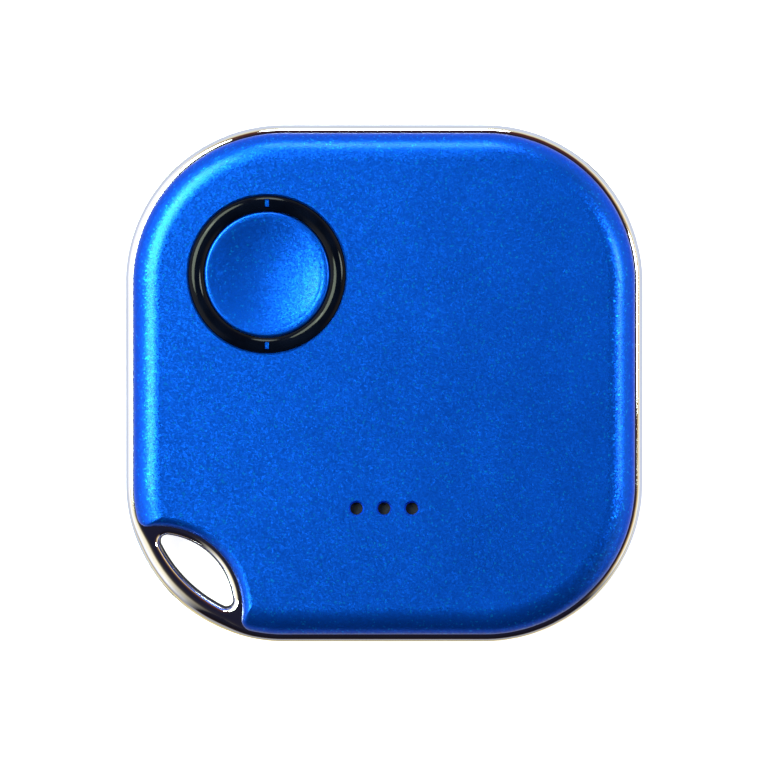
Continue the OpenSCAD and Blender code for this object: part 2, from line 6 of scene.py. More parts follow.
import bpy
from bpy.props import FloatProperty, FloatVectorProperty, IntProperty, PointerProperty
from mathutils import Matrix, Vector


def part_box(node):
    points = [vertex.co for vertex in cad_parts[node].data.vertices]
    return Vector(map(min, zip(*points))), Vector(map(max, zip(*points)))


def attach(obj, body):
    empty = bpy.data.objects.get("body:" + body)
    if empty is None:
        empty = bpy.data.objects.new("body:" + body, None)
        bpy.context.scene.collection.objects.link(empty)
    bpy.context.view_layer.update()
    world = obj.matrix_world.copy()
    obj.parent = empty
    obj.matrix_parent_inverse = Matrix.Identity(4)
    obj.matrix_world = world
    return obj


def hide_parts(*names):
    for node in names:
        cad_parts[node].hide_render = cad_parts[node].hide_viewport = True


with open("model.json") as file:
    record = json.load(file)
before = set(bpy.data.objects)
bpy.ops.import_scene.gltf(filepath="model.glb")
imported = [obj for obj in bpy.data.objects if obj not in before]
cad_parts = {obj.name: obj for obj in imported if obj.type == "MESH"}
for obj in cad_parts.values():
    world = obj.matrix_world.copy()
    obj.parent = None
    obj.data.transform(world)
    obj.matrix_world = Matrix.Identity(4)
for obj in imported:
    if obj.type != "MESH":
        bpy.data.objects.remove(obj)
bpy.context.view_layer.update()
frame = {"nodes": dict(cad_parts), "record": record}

bl_info = {
    "name": "Key Tag",
    "version": (1, 0, 0),
    "blender": (4, 5, 0),
    "location": "View3D > Sidebar > Key Tag",
    "description": "Models and finishes a square push-button key tag",
    "category": "Add Mesh",
}

# ---- places read from the frame ----

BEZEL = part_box("bezel_frame")
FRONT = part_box("front_cover")
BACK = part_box("back_cover")
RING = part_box("light_ring")
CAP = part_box("button_cap")
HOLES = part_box("sound_mesh")
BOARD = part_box("circuit_board")
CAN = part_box("cell_can")
CELL_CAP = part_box("cell_cap")

BUTTON = (RING[0] + RING[1]) / 2
CELL = (CAN[0] + CAN[1]) / 2
SOUND_Y = (HOLES[0].y + HOLES[1].y) / 2
STAND = FRONT[0].x - BEZEL[0].x  # how far the bezel stands proud of the covers
FACE = FRONT[1].z

# ---- small values that no panel needs ----

SCREWS_APART = 0.003  # points nearer than this belong to one screw
SCREW_HOLE_R = 0.00052  # hole in a screw boss
SCREW_HOLE_END = 0.0005  # how far the hole ends below the face's inner side
BOSS_ROOT = 0.0002  # how far a boss goes into the face that it stands on
FOOT_CHAMFER = 0.0001  # edge round the foot of a boss or a stem
RIM_R = 0.00008  # edge where a cover's side meets the bezel
RIM_BEVEL = 0.3  # where that edge's middle ring lies, as a share of its radius
BEZEL_CORNER = 0.0004  # corners of the bezel's inner side, by the key eye
BEZEL_FLAT = 1.08  # where its flat faces start, as a share of the edge radius
BAR_ENDS = 34  # where the bar's larger edge ends, in degrees
BAR_EASE = 14  # degrees over which it grows to its full size
EYE_STEP = 0.00012  # spacing of points along the key eye
EYE_TIP_STEP = 0.00008  # spacing of points round its two ends
EYE_PAST = 0.0001  # how far its cutter goes past the bezel
BORE_PAST = 0.0003  # how far a bore's cutter goes above the face, and the button bore's below it
CUT_PAST = 0.0002  # how far other cutters go past what they cut
NOTCH_HALF = 0.0025  # half the pry notch's width
NOTCH_IN = 0.0006  # its depth, in from the cover's side
NOTCH_RISE = 0.0006  # its height below the rim
NOTCH_CORNER = 0.00025  # its cut corners
NOTCH_PAST = 0.00005  # how far its cutter goes past the rim
FLANGE_T = 0.0003  # thickness of the button's hidden flange
STEM_R = 0.0008  # stem that presses the switch
CAP_WALL = 0.0009  # wall of the button's side
CAP_ROOF = 0.00055  # thickness of the button under its dish
DISH_BLEND = 0.0002  # width over which the dish rounds into the rim
DISH_LEAD = 0.6  # share of that width that lies on the rim's side
POST_CORNER = 0.00005
POST_TIP = 0.86  # size of a post's end against its foot
POST_TAPER = 0.00004  # height over which a post narrows to its end
POST_ROOT = 0.0001  # how far a post goes into the flange
RING_CHAMFER = 0.00008  # chamfer of the light ring's flange
CRIMP_IN = 0.0002  # how far the crimp turns in past its round
CRIMP_DROP = 0.00005
CRIMP_FOOT = 0.00045  # how far below the top the crimp meets the can's wall
CAN_INSIDE = 0.0002  # chamfer inside the can's foot
EDGE_STEPS = 14  # steps round the covers' and the bezel's edges
LIP_STEPS = 12  # the key eye's lip
RIM_STEPS = 10  # the button's rim
CELL_STEPS = 8  # the cell's edges
BLEND_STEPS = 6  # the way from the button's rim into its dish
DISH_STEPS = 24
CROWN_STEPS = 18
ROUND_SMALL = 40  # points round a boss or a sound hole
ROUND = 144  # the button and the cell
ROUND_FINE = 160  # the light ring and its bore
COVER_INNER_RINGS = 4  # a cover's innermost rings, which are bare moulding

FLOOR_R = 1.6
FLOOR_GAP = 0.00002  # how far the floor lies below the tag
FLOOR_GLOW = 0.78  # the floor's own light, which keeps it pale in the tag's shade
OVERHEAD = (0.012, 0.012, 0.03)  # the studio straight above
SIDE_SKEW = 0.15  # how much narrower the right side of the studio is than the left
SIDE_SHARPNESS = 2.5  # how quickly one side of the studio gives way to the next
CAMERA_LENS = 300.3  # in millimetres, on a 36 mm sensor
CAMERA_AIM = (-0.00001, -0.00005, 0.003)
CAMERA_LEAN = 0.035  # how far towards +Y the camera stands, for each unit of height
CAMERA_AWAY = 0.447  # distance from its aim
LIGHTS = (  # name, place, diameter, watts and tint; each aims at the origin
    ("key_light", (-0.18, 0.05, 0.29), 0.18, 1.32, (0.84, 1.0, 0.78)),
    ("far_light", (-0.13, 0.15, 0.24), 0.12, 0.5, (0.86, 1.0, 0.78)),
    ("side_light", (0.40, 0.05, 0.50), 0.15, 1.15, (0.88, 1.0, 0.88)),
    ("back_light", (0.00, 0.52, 0.42), 0.20, 1.2, (0.88, 1.0, 0.90)),
)


def length(name, default, text):
    return FloatProperty(name=name, default=default, description=text, unit="LENGTH", precision=5)


def colour(name, default, text):
    return FloatVectorProperty(
        name=name, default=default, description=text, subtype="COLOR", size=3, min=0.0, max=1.0
    )


class TagSizes(bpy.types.PropertyGroup):
    """Sizes of the visible shells"""

    corner_r: length("Corner radius", 0.011, "Outer corner radius of the bezel")
    face_wall: length("Face wall", 0.0007, "Thickness of the covers' faces")
    bezel_wall: length("Bezel wall", 0.00125, "Thickness of the bezel's wall")
    skirt_out: length("Skirt", 0.0013, "Outer side of the skirt, in from the bezel's")
    skirt_in: length("Skirt inside", 0.0020, "Inner side of the skirt, in from the bezel's outer")
    lip_out: length("Lip", 0.00205, "Outer side of the lip, in from the bezel's")
    lip_in: length("Lip inside", 0.00265, "Inner side of the lip, in from the bezel's outer")
    edge_r: length("Cover edge", 0.0013, "Height of the rounded edge around the covers' faces")
    edge_w: length("Cover edge width", 0.0019, "Width of the rounded edge around the covers' faces")
    cut_edge_r: length("Cut edge", 0.00075, "Edge radius of the covers along the key eye's cut")
    cut_r: length("Cut radius", 0.00585, "Radius of the covers' round cut for the key eye")
    cut_corner_r: length("Cut corners", 0.00075, "Corner radius where the cut meets the sides")
    eye_inset: length("Eye inset", 0.0023, "Distance of the eye's centre from the bezel's outer sides")
    eye_r: length("Eye radius", 0.0052, "Radius of the eye's inner side")
    eye_bar: length("Eye bar", 0.00144, "Width of the bar outside the eye")
    eye_tip_r: length("Eye ends", 0.0005, "Radius of the eye's rounded ends")
    eye_bar_edge: length("Eye bar edge", 0.0009, "Edge radius of the bar outside the eye")
    eye_lip_r: length("Eye lip", 0.00045, "Lip radius around the eye")
    bore_gap: length("Bore gap", 0.00002, "Gap between the light ring and the cover's bore")
    bore_chamfer: length("Bore chamfer", 0.00012, "Chamfer of the button's bore")
    hole_d: length("Sound hole", 0.00087, "Diameter of a sound hole")
    hole_pitch: length("Sound hole spacing", 0.00192, "Spacing of the sound holes")
    hole_chamfer: length("Sound hole chamfer", 0.00012, "Chamfer of the sound holes")
    hole_count: IntProperty(name="Sound holes", default=3, min=1, max=5, description="Sound holes in a row")
    boss_r: length("Screw boss", 0.0012, "Radius of the front cover's screw bosses")
    cap_r: length("Button radius", 0.00436, "Radius of the button")
    cap_rim: length("Button rim", 0.00045, "Width of the button's rim around its dish")
    cap_rim_r: length("Button edge", 0.0002, "Edge radius of the button's rim")
    dish_depth: length("Dish", 0.00035, "Depth of the button's finger dish")
    ring_in: length("Light ring inside", 0.00441, "Inner radius of the light ring")
    ring_w: length("Light ring width", 0.00104, "Visible width of the light ring")
    ring_crown: length("Light ring crown", 0.0002, "Rise of the light ring's rounded top")
    post_w: length("Post width", 0.0003, "Width of the button's two posts")
    post_l: length("Post length", 0.0005, "Length of the button's two posts, outwards")
    slide_gap: length("Sliding gap", 0.00005, "Gap between parts that slide in one another")
    can_t: length("Cell sheet", 0.00025, "Thickness of the cell's sheet metal")
    can_r: length("Cell edge", 0.0003, "Edge radius under the cell's can")
    crimp_w: length("Cell crimp", 0.00035, "Width of the rounded crimp on the cell's can")
    cell_cap_r: length("Cell cap edge", 0.0002, "Edge radius of the cell's cap")


class TagFinishes(bpy.types.PropertyGroup):
    """Colours of the finishes"""

    paint: colour("Paint", (0.0001, 0.088, 0.75), "Metallic paint of the covers and the button")
    flake: colour("Flake", (0.002, 0.23, 0.95), "Bright flakes in the paint")
    inside: colour("Cover inside", (0.004, 0.035, 0.16), "Blue moulding inside the covers")
    chrome: colour("Chrome", (0.90, 0.90, 0.92), "Plating of the bezel")
    smoke: colour("Smoked ring", (0.0012, 0.002, 0.006), "Smoked plastic of the light ring")
    rubber: colour("Rubber", (0.020, 0.020, 0.022), "Seals, pads and gaskets")
    moulding: colour("Moulding", (0.018, 0.018, 0.020), "Black inner mouldings")
    pale: colour("Pale moulding", (0.72, 0.70, 0.62), "Natural nylon")
    steel: colour("Steel", (0.60, 0.60, 0.61), "Rolled steel sheet")
    nickel: colour("Nickel", (0.72, 0.71, 0.68), "Plated shell of the cell")
    mask: colour("Solder mask", (0.004, 0.085, 0.030), "Mask of the circuit board")
    gold: colour("Contacts", (0.83, 0.60, 0.24), "Gold-washed contacts")
    epoxy: colour("Epoxy", (0.014, 0.014, 0.016), "Chip packages")
    ceramic: colour("Ceramic", (0.74, 0.72, 0.66), "Pale fired ceramic")
    tan: colour("Tan ceramic", (0.33, 0.20, 0.11), "Tan fired ceramic")
    resin: colour("Resin", (0.85, 0.84, 0.72), "Milky diode resin")
    powder: colour("Powder", (0.035, 0.035, 0.038), "Pressed powder in the cell")


def sizes():
    return bpy.context.scene.tag_sizes


def finishes():
    return bpy.context.scene.tag_finishes


# ---- plan outlines: columns of (point, outward normal, kind), anticlockwise ----

DIAGONAL = math.radians(225)  # direction of the corner that carries the key eye
FINE = 0.00009  # spacing of points on small rounds
MEDIUM = 0.0002  # spacing of points near the key eye
COARSE = 0.00035  # spacing of points on the large corners


def turned(x, y, angle=DIAGONAL):
    """A point turned about the origin, by default to the key eye's direction."""
    c, s = math.cos(angle), math.sin(angle)
    return Vector((x * c - y * s, x * s + y * c))


def arc(centre, radius, start, end, kind, spacing, hollow=False, last=False):
    """Columns along an arc; its last point belongs to the next arc unless last is set.
    The normals of a hollow arc point to its centre."""
    steps = max(3, round(abs(end - start) * radius / spacing))
    columns = []
    for i in range(steps + (1 if last else 0)):
        angle = start + (end - start) * i / steps
        out = Vector((math.cos(angle), math.sin(angle)))
        columns.append((centre + radius * out, -out if hollow else out, kind))
    return columns


def eased(share):
    """A share from 0 to 1 that starts and ends gently."""
    return share * share * (3 - 2 * share)


def ball_radius(half, rise):
    """Radius of the ball whose cap has this half width and rise."""
    return (half * half + rise * rise) / (2 * rise)


def meeting(span, reach, other_reach):
    """Where two circles meet whose centres are span apart: along that line, and across it."""
    along = (span * span + reach * reach - other_reach * other_reach) / (2 * span)
    return along, math.sqrt(reach * reach - along * along)


def crossing(centre, span, reach, other_reach):
    """Where such circles meet beside the key eye's direction, and the angle from it at each centre."""
    along, across = meeting(span, reach, other_reach)
    upper, lower = (centre + turned(along, side * across) for side in (1, -1))
    return upper, lower, math.atan2(across, along), math.atan2(across, span - along)


class Plan:
    """The case's plan, set in from the bezel's outer side, with the round cut for the key eye."""

    def __init__(self, depth, corner_round):
        s = sizes()
        self.depth = depth
        self.radius = s.corner_r - depth
        self.centre = Vector((BEZEL[0].x + s.corner_r, BEZEL[0].y + s.corner_r))
        self.far = Vector((BEZEL[1].x - s.corner_r, BEZEL[1].y - s.corner_r))
        self.eye = Vector((BEZEL[0].x + s.eye_inset, BEZEL[0].y + s.eye_inset))
        self.span = (self.eye - self.centre).length
        self.cut = s.cut_r - STAND + depth
        self.round = corner_round
        self.columns = self._outline()

    def _outline(self):
        r, rho, rc = self.radius, self.cut, self.round
        upper, lower, beta, delta = crossing(self.centre, self.span, r - rc, rho + rc)
        quarter = math.pi / 2
        opposite = DIAGONAL + math.pi
        a, b = self.centre, self.far
        return (
            arc(a, r, DIAGONAL + beta, 3 * quarter, "side", MEDIUM, last=True)
            + arc(Vector((b.x, a.y)), r, 3 * quarter, 4 * quarter, "side", COARSE, last=True)
            + arc(b, r, 0, quarter, "side", COARSE, last=True)
            + arc(Vector((a.x, b.y)), r, quarter, 2 * quarter, "side", COARSE, last=True)
            + arc(a, r, 2 * quarter, DIAGONAL - beta, "side", MEDIUM)
            + arc(lower, rc, DIAGONAL - beta, DIAGONAL + delta, "round", FINE)
            + arc(self.eye, rho, opposite + delta, opposite - delta, "cut", MEDIUM, hollow=True)
            + arc(upper, rc, DIAGONAL - delta, DIAGONAL + beta, "round", FINE)
        )

    def inset(self, side, cut=None):
        """The outline's points moved in, by one distance along the sides and one along the cut."""
        cut = side if cut is None else cut
        along, across = meeting(self.span, self.radius - side, self.cut + cut)
        points = []
        for point, out, kind in self.columns:
            moved = point - out * (cut if kind == "cut" else side)
            local = turned(*(point - self.centre), -DIAGONAL)
            corner = self.centre + turned(along, math.copysign(across, local.y))
            near = abs(math.atan2(local.y, local.x)) < math.pi / 4
            if kind == "round" and (side != cut or side >= self.round):
                moved = corner
            elif kind == "side" and near and (moved - self.eye).length < self.cut + cut:
                moved = corner
            elif kind == "cut" and (moved - self.centre).length > self.radius - side:
                moved = corner
            points.append(moved)
        return points

    def blended(self, side, cut):
        """A value for every column: one along the sides, one along the cut, eased round the corners."""
        kinds = [kind for _, _, kind in self.columns]
        total = len(kinds)
        values = []
        for i, kind in enumerate(kinds):
            if kind != "round":
                values.append(side if kind == "side" else cut)
                continue
            back = next(k for k in range(1, total) if kinds[i - k] != "round")
            ahead = next(k for k in range(1, total) if kinds[(i + k) % total] != "round")
            first = side if kinds[i - back] == "side" else cut
            final = side if kinds[(i + ahead) % total] == "side" else cut
            values.append(first + (final - first) * eased(back / (back + ahead)))
        return values

    def outer(self, depths, share):
        """The bezel's rounded square, one point for every column, moved in by a share of its depth."""
        full = sizes().corner_r
        points = []
        for (point, out, kind), depth in zip(self.columns, depths):
            if kind == "side":
                points.append(point + out * (self.depth - depth * share))
            else:
                ray = (point - self.centre).normalized()
                points.append(self.centre + ray * (full - depth * share))
        return points


def level(points, height):
    return [Vector((p.x, p.y, height)) for p in points]


def rounding(side, width, top, height, steps, backwards=False):
    """A profile's quarter round, in from the side by its width and down from the top by its height."""
    return [
        (side - width * share, top - height * rise) for share, rise in quarter_turn(steps, backwards)
    ]


def circle(centre, radius, height, count):
    step = 2 * math.pi / count
    return [
        Vector((centre.x + radius * math.cos(i * step), centre.y + radius * math.sin(i * step), height))
        for i in range(count)
    ]


def quarter_turn(steps, backwards=False):
    """Shares of a quarter round, along and down, from its start at the side to its end at the top."""
    for step in range(steps, -1, -1) if backwards else range(steps + 1):
        angle = math.pi / 2 * step / steps
        yield 1 - math.cos(angle), 1 - math.sin(angle)


# ---- modelling ----

MERGE = 3e-7  # vertices closer than this are one
SMOOTH = math.radians(32)  # edges sharper than this stay sharp
NORMAL_WEIGHT = 60  # how much a face's area counts in the shading


def select_only(piece):
    bpy.ops.object.select_all(action="DESELECT")
    piece.select_set(True)
    bpy.context.view_layer.objects.active = piece


def tube(name, rings, capped=True, inner=0):
    """A cylinder whose side is divided into rings, then led through the given rings of points.
    Faces up to the ring numbered inner take the piece's second material."""
    count, rows = len(rings[0]), len(rings)
    bpy.ops.object.select_all(action="DESELECT")
    bpy.ops.mesh.primitive_cylinder_add(
        vertices=count, radius=1, depth=1, end_fill_type="NGON" if capped else "NOTHING"
    )
    piece = bpy.context.object
    piece.name = piece.data.name = name
    mesh = piece.data
    if rows > 2:
        bpy.ops.object.mode_set(mode="EDIT")
        bpy.ops.mesh.select_mode(type="EDGE")
        bpy.ops.mesh.select_all(action="DESELECT")
        bpy.ops.object.mode_set(mode="OBJECT")
        for edge in mesh.edges:
            a, b = (mesh.vertices[i].co for i in edge.vertices)
            edge.select = abs(a.z - b.z) > 0.5
        bpy.ops.object.mode_set(mode="EDIT")
        bpy.ops.mesh.subdivide(number_cuts=rows - 2)
        bpy.ops.object.mode_set(mode="OBJECT")
    if len(mesh.vertices) != count * rows:
        raise RuntimeError(f"{name}: {len(mesh.vertices)} vertices, not {count} x {rows}")
    for face in mesh.polygons:
        face.material_index = 1 if (face.center.z + 0.5) * (rows - 1) < inner else 0
    for vertex in mesh.vertices:
        x, y, z = vertex.co
        column = round(math.atan2(y, x) / (2 * math.pi) * count) % count
        vertex.co = rings[round((z + 0.5) * (rows - 1))][column]
    close(piece)
    return piece


def close(piece):
    """Merges doubles and turns every face outwards."""
    select_only(piece)
    bpy.ops.object.mode_set(mode="EDIT")
    bpy.ops.mesh.select_mode(type="VERT")
    bpy.ops.mesh.select_all(action="SELECT")
    bpy.ops.mesh.remove_doubles(threshold=MERGE)
    bpy.ops.mesh.normals_make_consistent(inside=False)
    bpy.ops.mesh.select_all(action="DESELECT")
    bpy.ops.object.mode_set(mode="OBJECT")


def turning(name, profile, centre, count, inner=0):
    """A turned shape from a profile of (radius, height); a radius of 0 closes in a pole."""
    return tube(name, [circle(centre, r, z, count) for r, z in profile], capped=False, inner=inner)


def bore_tool(name, radius, chamfer, below, centre, count):
    """A cutter for a round hole in the front face, chamfered at its mouth, down to a height."""
    past, wide = FACE + BORE_PAST, radius + chamfer
    return turning(name, [
        (0, past), (wide + BORE_PAST, past), (wide, FACE), (radius, FACE - chamfer),
        (radius, below), (0, below),
    ], centre, count)


def apply_modifier(piece, kind, **settings):
    select_only(piece)
    bpy.ops.object.modifier_add(type=kind)
    modifier = piece.modifiers[-1]
    for key, value in settings.items():
        setattr(modifier, key, value)
    bpy.ops.object.modifier_apply(modifier=modifier.name)


def combine(piece, tool, operation="DIFFERENCE"):
    """Cuts the tool away from the piece, or joins it on, and removes the tool."""
    for material in piece.data.materials:
        tool.data.materials.append(material)
    apply_modifier(piece, "BOOLEAN", operation=operation, solver="EXACT", object=tool)
    bpy.data.objects.remove(tool)


def soften(piece):
    """Smooth shading up to an angle, with the flats kept flat."""
    select_only(piece)
    bpy.ops.object.shade_smooth_by_angle(angle=SMOOTH)
    apply_modifier(piece, "WEIGHTED_NORMAL", mode="FACE_AREA", weight=NORMAL_WEIGHT, keep_sharp=True)


def settle(piece, body, slot, node):
    """Gives a finished piece its shading, body and slot, and hides the node that it stands for."""
    soften(piece)
    if not piece.data.materials:
        piece.data.materials.append(finish_for(slot))
    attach(piece, body)
    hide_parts(node)


def paint_outside(piece):
    """Paint on the piece's outside, and bare moulding on the faces marked as inner."""
    piece.data.materials.append(finish_for("cover_paint"))
    piece.data.materials.append(finish_for("cover_inside"))


def spots(node, apart):
    """Centres of the like parts of one node that stand apart in plan."""
    groups = []
    for vertex in frame["nodes"][node].data.vertices:
        near = [group for group in groups if (group[0].xy - vertex.co.xy).length < apart]
        if not near:
            groups.append([])
        group = near[0] if near else groups[-1]
        group.append(vertex.co.copy())
    return [Vector([(min(axis) + max(axis)) / 2 for axis in zip(*group)]) for group in groups]


# ---- materials ----


class Nodes:
    """A node tree under construction."""

    def __init__(self, tree):
        self.tree = tree

    def node(self, kind, inputs=None, **options):
        made = self.tree.nodes.new("ShaderNode" + kind)
        for key, value in options.items():
            setattr(made, key, value)
        for key, value in (inputs or {}).items():
            if isinstance(value, bpy.types.NodeSocket):
                self.tree.links.new(value, made.inputs[key])
            else:
                made.inputs[key].default_value = value
        return made

    def ramp(self, source, stops):
        """A colour for every value, from stops of (value, colour or grey)."""
        made = self.node("ValToRGB", {"Fac": source})
        ramp = made.color_ramp
        while len(ramp.elements) < len(stops):
            ramp.elements.new(0.5)
        for element, (at, value) in zip(ramp.elements, stops):
            element.position = at
            value = (value,) * 3 if isinstance(value, (int, float)) else value
            element.color = (*value, 1.0)
        return made.outputs["Color"]

    def math(self, operation, *values):
        return self.node("Math", dict(enumerate(values)), operation=operation).outputs["Value"]

    def mix(self, factor, first, second):
        """The first colour where the factor is 0, and the second where it is 1."""
        inputs = {"Factor": factor, 6: first, 7: second}
        return self.node("Mix", inputs, data_type="RGBA").outputs[2]

    def vector_math(self, operation, inputs):
        return self.node("VectorMath", inputs, operation=operation).outputs["Vector"]


class Finish(Nodes):
    """A material under construction: one principled shader and the nodes that feed it."""

    def __init__(self, name, base, **sockets):
        self.material = bpy.data.materials.new(name)
        self.material.use_nodes = True
        super().__init__(self.material.node_tree)
        self.shader = self.tree.nodes["Principled BSDF"]
        self.base = base
        self.set("Base Color", (*base, 1.0))
        for key, value in sockets.items():
            self.set(key.replace("_", " ").title().replace("Ior", "IOR"), value)
        self.place = self.node("TexCoord").outputs["Object"]

    def set(self, socket, value):
        self.shader.inputs[socket].default_value = value

    def feed(self, socket, source):
        self.tree.links.new(source, self.shader.inputs[socket])

    def stretched(self, scale):
        """The object's own coordinates, stretched, for grain with a direction."""
        return self.node("Mapping", {"Vector": self.place, "Scale": scale}).outputs["Vector"]

    def noise(self, size, detail=2.0, roughness=0.5, place=None):
        return self.node("TexNoise", {
            "Vector": place or self.place, "Scale": 1 / size, "Detail": detail, "Roughness": roughness,
        }).outputs["Fac"]

    def cells(self, size, randomness=1.0, feature="F1"):
        inputs = {"Vector": self.place, "Scale": 1 / size, "Randomness": randomness}
        return self.node("TexVoronoi", inputs, feature=feature)

    def vary_colour(self, size, amount, place=None):
        """Cloudy variation of the colour about its base."""
        dark = tuple(c * (1 - amount) for c in self.base)
        light = tuple(min(1.0, c * (1 + amount)) for c in self.base)
        cloud = self.noise(size, detail=3.0, place=place)
        self.feed("Base Color", self.ramp(cloud, [(0.3, dark), (0.7, light)]))

    def vary_roughness(self, size, low, high, place=None):
        cloud = self.noise(size, detail=3.0, roughness=0.6, place=place)
        self.feed("Roughness", self.ramp(cloud, [(0.3, low), (0.7, high)]))

    def bump(self, height, depth, strength):
        made = self.node("Bump", {"Height": height, "Distance": depth, "Strength": strength})
        self.feed("Normal", made.outputs["Normal"])


def paint_finish():
    """Metallic paint: flakes that tilt each its own way, under a thin clear lacquer."""
    f = finishes()
    m = Finish(
        "metallic_paint", f.paint, metallic=0.9, roughness=0.35, coat_weight=0.12, coat_roughness=0.2
    )
    m.set("Specular IOR Level", 0.3)
    flakes = m.cells(size=0.00011)
    fine = m.cells(size=0.00005)
    split = m.node("SeparateColor", {"Color": flakes.outputs["Color"]})
    m.feed("Base Color", m.ramp(split.outputs["Red"], [
        (0.0, tuple(c * 0.90 for c in f.paint)),
        (0.6, tuple(f.paint)),
        (0.93, tuple(c * 1.10 for c in f.paint)),
        (1.0, tuple(f.flake)),
    ]))
    tilts = []
    for source, amount in ((flakes, 0.10), (fine, 0.08)):
        centred = m.vector_math("SUBTRACT", {0: source.outputs["Color"], 1: (0.5, 0.5, 0.5)})
        tilts.append(m.vector_math("SCALE", {0: centred, "Scale": amount}))
    both = m.vector_math("ADD", dict(enumerate(tilts)))
    tilted = m.vector_math("ADD", {0: m.node("NewGeometry").outputs["Normal"], 1: both})
    m.feed("Normal", m.vector_math("NORMALIZE", {0: tilted}))
    m.feed("Roughness", m.ramp(m.noise(size=0.004, detail=4.0), [(0.35, 0.335), (0.65, 0.355)]))
    return m.material


def chrome_finish():
    """Bright plating with the faintest waviness and a little haze from handling."""
    m = Finish("bright_chrome", finishes().chrome, metallic=1.0, roughness=0.05)
    m.vary_colour(size=0.006, amount=0.03)
    m.vary_roughness(size=0.0025, low=0.03, high=0.085)
    m.bump(m.noise(size=0.0016), depth=0.000002, strength=0.25)
    return m.material


def smoke_finish():
    """Smoked plastic, polished, with a slightly uneven skin."""
    m = Finish("smoked_polish", finishes().smoke, roughness=0.08, ior=1.4)
    m.set("Specular IOR Level", 0.18)
    m.vary_colour(size=0.002, amount=0.4)
    m.vary_roughness(size=0.0012, low=0.06, high=0.12)
    m.bump(m.noise(size=0.0009), depth=0.000003, strength=0.5)
    return m.material


def moulded_finish(name, base, low, high, grain=0.00012, depth=0.000008, **sockets):
    """Moulded or cast material with a fine grain."""
    m = Finish(name, base, **sockets)
    m.vary_colour(size=grain * 12, amount=0.14)
    m.vary_roughness(grain * 5, low, high)
    m.bump(m.noise(grain, detail=3.0, roughness=0.6), depth, strength=0.7)
    return m.material


def sheet_finish(name, base, low, high, along=(1.0, 0.06, 1.0), relief=0.000004):
    """Rolled metal with its grain along one way."""
    m = Finish(name, base, metallic=1.0)
    grain = m.stretched(along)
    m.vary_colour(size=0.00016, amount=0.07, place=grain)
    m.vary_roughness(0.00012, low, high, grain)
    m.bump(m.noise(size=0.00010, detail=3.0, place=grain), relief, strength=0.6)
    return m.material


def board_finish():
    """Solder mask over copper tracks: a maze of fine raised lines and a few gold pads."""
    f = finishes()
    m = Finish("solder_mask", f.mask, roughness=0.32, coat_weight=0.3, coat_roughness=0.2)
    cells = m.cells(size=0.0011, randomness=0.85, feature="DISTANCE_TO_EDGE")
    tracks = m.ramp(cells.outputs["Distance"], [(0.05, 1.0), (0.09, 0.0)])
    light = tuple(min(1.0, c * 2.1 + 0.004) for c in f.mask)
    tone = m.mix(tracks, (*f.mask, 1.0), (*light, 1.0))
    pads = m.cells(size=0.0023, randomness=0.7)
    pad = m.ramp(pads.outputs["Distance"], [(0.10, 1.0), (0.12, 0.0)])
    m.feed("Base Color", m.mix(pad, tone, (*f.gold, 1.0)))
    m.feed("Metallic", pad)
    m.vary_roughness(size=0.0008, low=0.26, high=0.4)
    m.bump(tracks, depth=0.00002, strength=0.8)
    return m.material


def cloth_finish():
    """Fine woven dust mesh."""
    m = Finish("dust_mesh", (0.012, 0.012, 0.013), roughness=0.85)
    threads = {"Vector": m.place, "Scale": 4200.0}
    warp, weft = (
        m.node("TexWave", threads, bands_direction=axis).outputs["Fac"] for axis in ("X", "Y")
    )
    weave = m.math("MULTIPLY", warp, weft)
    m.feed("Base Color", m.ramp(weave, [(0.1, 0.004), (0.8, 0.02)]))
    m.feed("Roughness", m.ramp(m.noise(size=0.0002), [(0.3, 0.75), (0.7, 0.95)]))
    m.bump(weave, depth=0.00003, strength=0.8)
    return m.material


def ceramic_finish(name, base, tin):
    """Fired ceramic with a speckle; the tinned tone shows as paler patches."""
    m = Finish(name, base, roughness=0.4)
    cells = m.cells(size=0.00016)
    speck = m.ramp(cells.outputs["Distance"], [(0.1, tin), (0.5, base), (0.9, base)])
    m.feed("Base Color", speck)
    m.vary_roughness(size=0.0003, low=0.3, high=0.5)
    m.bump(m.noise(size=0.00009, detail=3.0), depth=0.000006, strength=0.6)
    return m.material


def make_finishes():
    """Every material of the tag, by the slot that it belongs to."""
    f = finishes()
    return {
        "cover_paint": paint_finish(),
        "cover_inside": moulded_finish("cover_moulding", f.inside, 0.34, 0.5, 0.00014, 0.000006),
        "bezel_chrome": chrome_finish(),
        "smoked_ring": smoke_finish(),
        "seal_rubber": moulded_finish("seal_rubber", f.rubber, 0.6, 0.8, 0.00018, 0.00001),
        "dark_moulding": moulded_finish("dark_moulding", f.moulding, 0.42, 0.6),
        "pale_moulding": moulded_finish("pale_moulding", f.pale, 0.38, 0.55, subsurface_weight=0.1),
        "sheet_steel": sheet_finish("sheet_steel", f.steel, 0.24, 0.42),
        "led_resin": moulded_finish("diode_resin", f.resin, 0.2, 0.35, transmission_weight=0.15),
        "board_mask": board_finish(),
        "screw_steel": sheet_finish("screw_steel", f.steel, 0.28, 0.5, (1.0, 1.0, 0.2)),
        "chip_epoxy": moulded_finish("chip_epoxy", f.epoxy, 0.45, 0.62, 0.00008),
        "pale_ceramic": ceramic_finish("pale_ceramic", f.ceramic, (0.82, 0.81, 0.78)),
        "tan_ceramic": ceramic_finish("tan_ceramic", f.tan, (0.48, 0.34, 0.22)),
        "contact_brass": sheet_finish("contact_gold", f.gold, 0.2, 0.36),
        "mesh_cloth": cloth_finish(),
        "cell_steel": sheet_finish("cell_nickel", f.nickel, 0.24, 0.34, (1.0, 1.0, 1.0), 0.0000008),
        "cell_fill": moulded_finish("pressed_powder", f.powder, 0.7, 0.9, 0.0001, 0.00002),
    }


